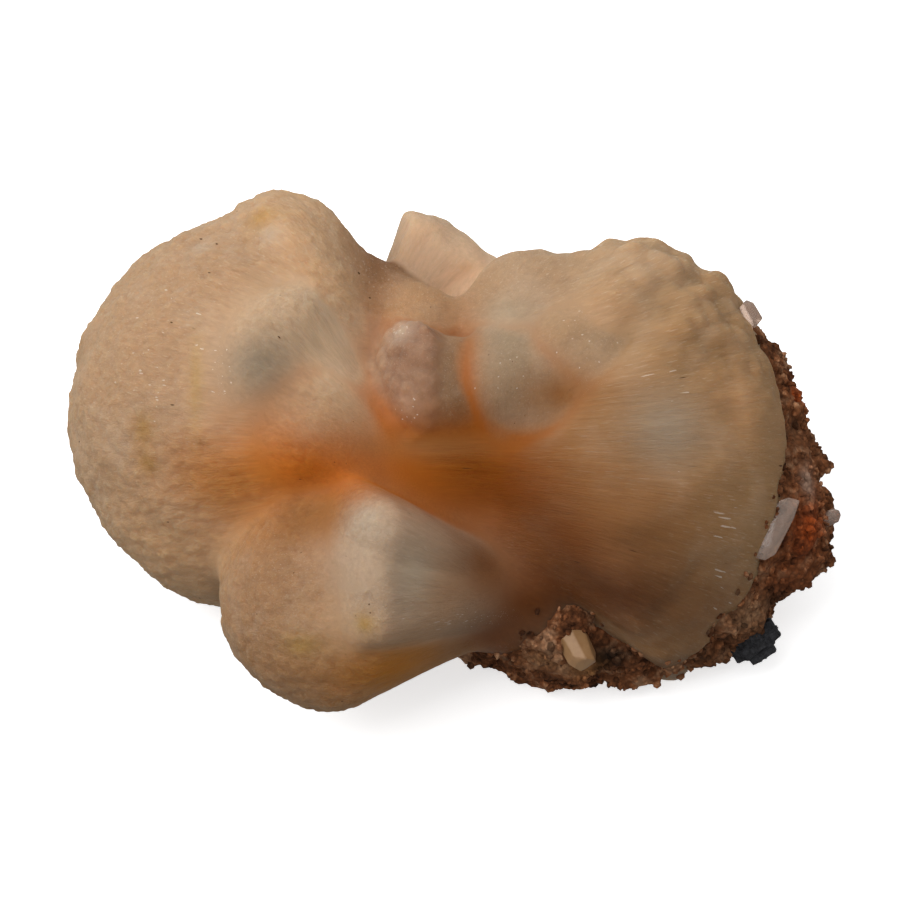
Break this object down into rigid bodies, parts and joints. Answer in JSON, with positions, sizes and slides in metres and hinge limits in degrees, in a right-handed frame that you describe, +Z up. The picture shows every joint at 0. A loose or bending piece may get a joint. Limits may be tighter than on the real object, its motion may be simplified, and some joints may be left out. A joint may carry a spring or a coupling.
{
  "type": "stilbite cluster",
  "caption": "Bow-tie shaped cluster of bladed peach zeolite crystals on a crust of reddish matrix, cut flat to rest on a shelf.",
  "frame": {"origin": "centre of the resting footprint's bounding box, on the surface it rests on", "axes": "+Z up, +X along the bow tie from its granular end to its crusted end, -Y towards the viewer of the picture"},
  "size_m": [0.1212, 0.0808, 0.0606],
  "materials": {
    "stilbite": "pearly translucent crystal with fine striae",
    "matrix": "dull crumbly iron-stained crust",
    "basalt": "dull dark rock",
    "clear_crystal": "glassy, faintly milky"
  },
  "bodies": {
    "root": {"stilbite_cluster": "stilbite", "matrix_crust": "matrix", "basalt_chip": "basalt", "clear_crystal_top": "clear_crystal", "clear_crystal_side": "clear_crystal", "clear_crystal_tip": "clear_crystal", "stub_crystal": "clear_crystal"}
  },
  "joints": []
}
